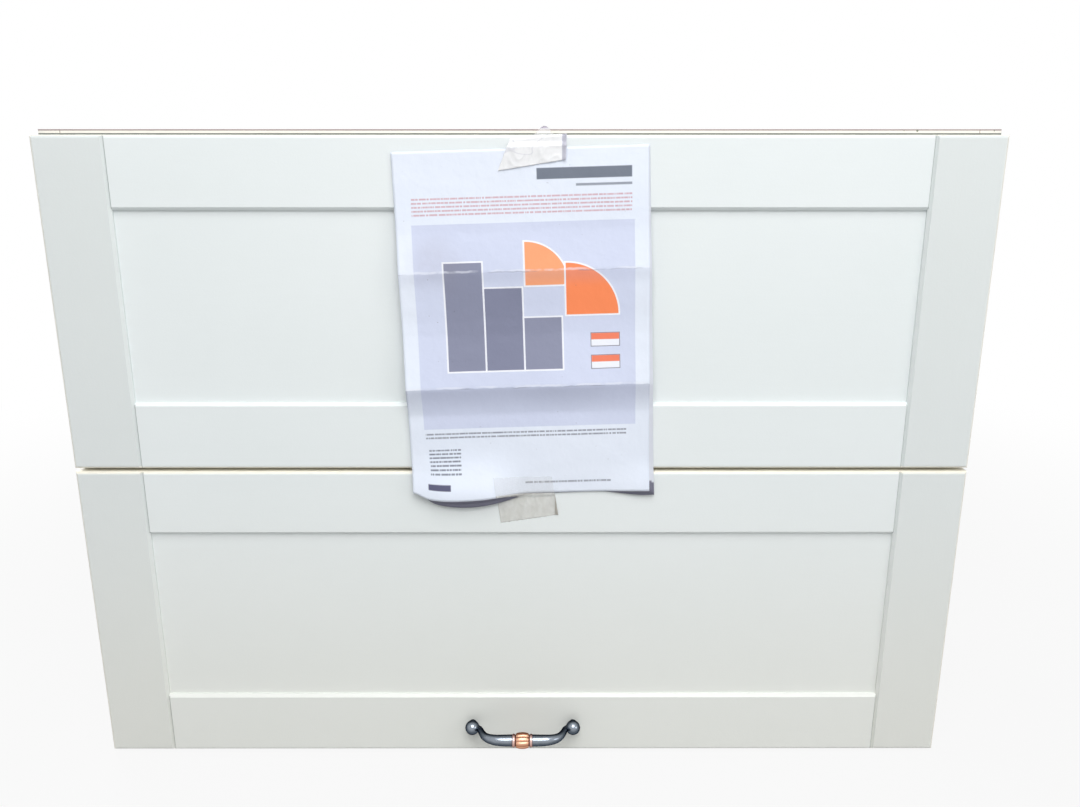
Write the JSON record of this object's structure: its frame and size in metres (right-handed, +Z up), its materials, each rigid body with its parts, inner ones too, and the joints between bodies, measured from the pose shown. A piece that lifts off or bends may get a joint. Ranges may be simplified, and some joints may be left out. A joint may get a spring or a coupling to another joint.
{
  "type": "bi-fold lift-up wall cabinet",
  "caption": "Wall cabinet closed by two hinged shaker flaps that fold upwards on lift arms, with a bow handle on the lower flap and a leaflet taped on the front.",
  "frame": {"origin": "middle of the bottom edge of the rear plane, where the cabinet meets the wall", "axes": "+Z up, +X to the right seen from the front, the flaps face -Y and the wall is the plane y = 0"},
  "size_m": [0.8, 0.3559, 0.58],
  "materials": {
    "carcase_board": "cream-white melamine-faced board",
    "back_board": "white coated fibreboard",
    "flap_frame": "satin cream-white film on fibreboard",
    "flap_panel": "satin cream-white film on fibreboard",
    "grey_plastic": "light grey moulded plastic",
    "pewter": "dark antique pewter, brushed and lacquered",
    "copper": "bright copper",
    "leaflet_paper": "coated printed paper",
    "clear_tape": "clear adhesive tape",
    "buffer_rubber": "clear soft button",
    "spring_steel": "oiled spring steel",
    "nickel": "nickel-plated steel",
    "zinc_steel": "zinc-plated steel"
  },
  "bodies": {
    "carcase": {"back_panel": "back_board", "bottom_panel": "carcase_board", "cabinet_hanger_left": "grey_plastic", "cabinet_hanger_right": "grey_plastic", "carcase_screws": "zinc_steel", "door_buffers": "buffer_rubber", "hanger_hook_left": "zinc_steel", "hanger_hook_right": "zinc_steel", "hinge_arm_left": "nickel", "hinge_arm_right": "nickel", "hinge_plate_left": "nickel", "hinge_plate_right": "nickel", "lift_base_left": "zinc_steel", "lift_base_right": "zinc_steel", "lift_cover_left": "grey_plastic", "lift_cover_right": "grey_plastic", "shelf": "carcase_board", "shelf_pins": "zinc_steel", "side_panel_left": "carcase_board", "side_panel_right": "carcase_board", "spring_pack_left": "spring_steel", "spring_pack_right": "spring_steel", "top_panel": "carcase_board"},
    "upper_flap": {"hinge_cup_left": "nickel", "hinge_cup_right": "nickel", "leaflet": "leaflet_paper", "seam_leaf_upper_left": "nickel", "seam_leaf_upper_right": "nickel", "seam_pins": "nickel", "tape_top": "clear_tape", "upper_flap_screws": "zinc_steel", "upper_panel": "flap_panel", "upper_rail_bottom": "flap_frame", "upper_rail_top": "flap_frame", "upper_stile_left": "flap_frame", "upper_stile_right": "flap_frame"},
    "lower_flap": {"arm_bracket_left": "zinc_steel", "arm_bracket_right": "zinc_steel", "handle_bead": "copper", "handle_bolts": "pewter", "handle_bow_left": "pewter", "handle_bow_right": "pewter", "handle_collars": "copper", "lower_flap_screws": "zinc_steel", "lower_panel": "flap_panel", "lower_rail_bottom": "flap_frame", "lower_rail_top": "flap_frame", "lower_stile_left": "flap_frame", "lower_stile_right": "flap_frame", "seam_leaf_lower_left": "nickel", "seam_leaf_lower_right": "nickel", "tape_bottom": "clear_tape"},
    "left_lift_arm": {"lift_arm_left": "zinc_steel", "lift_rod_left": "nickel", "lift_shaft_left": "nickel"},
    "right_lift_arm": {"lift_arm_right": "zinc_steel", "lift_rod_right": "nickel", "lift_shaft_right": "nickel"},
    "left_hinge_link": {"hinge_link_left": "nickel"},
    "right_hinge_link": {"hinge_link_right": "nickel"}
  },
  "joints": [
    {"name": "flap_lift", "type": "hinge", "parent": "carcase", "child": "upper_flap", "pos_m": [0, -0.303, 0.575], "axis": [-1, 0, 0], "range_deg": [0, 100]},
    {"name": "flap_fold", "type": "hinge", "parent": "upper_flap", "child": "lower_flap", "pos_m": [0, -0.2955, 0.2885], "axis": [1, 0, 0], "range_deg": [0, 100]},
    {"name": "left_arm_swing", "type": "hinge", "parent": "carcase", "child": "left_lift_arm", "pos_m": [-0.35, -0.27, 0.505], "axis": [-1, 0, 0], "range_deg": [0, 100]},
    {"name": "right_arm_swing", "type": "hinge", "parent": "carcase", "child": "right_lift_arm", "pos_m": [0.35, -0.27, 0.505], "axis": [-1, 0, 0], "range_deg": [0, 100]},
    {"name": "left_link_swing", "type": "hinge", "parent": "carcase", "child": "left_hinge_link", "pos_m": [-0.24, -0.303, 0.575], "axis": [-1, 0, 0], "range_deg": [0, 50]},
    {"name": "right_link_swing", "type": "hinge", "parent": "carcase", "child": "right_hinge_link", "pos_m": [0.24, -0.303, 0.575], "axis": [-1, 0, 0], "range_deg": [0, 50]}
  ],
  "couplings": [
    {"joint": "flap_fold", "follows": "flap_lift", "ratio": 1},
    {"joint": "left_arm_swing", "follows": "flap_lift", "ratio": 1},
    {"joint": "right_arm_swing", "follows": "flap_lift", "ratio": 1},
    {"joint": "left_link_swing", "follows": "flap_lift", "ratio": 0.5},
    {"joint": "right_link_swing", "follows": "flap_lift", "ratio": 0.5}
  ]
}
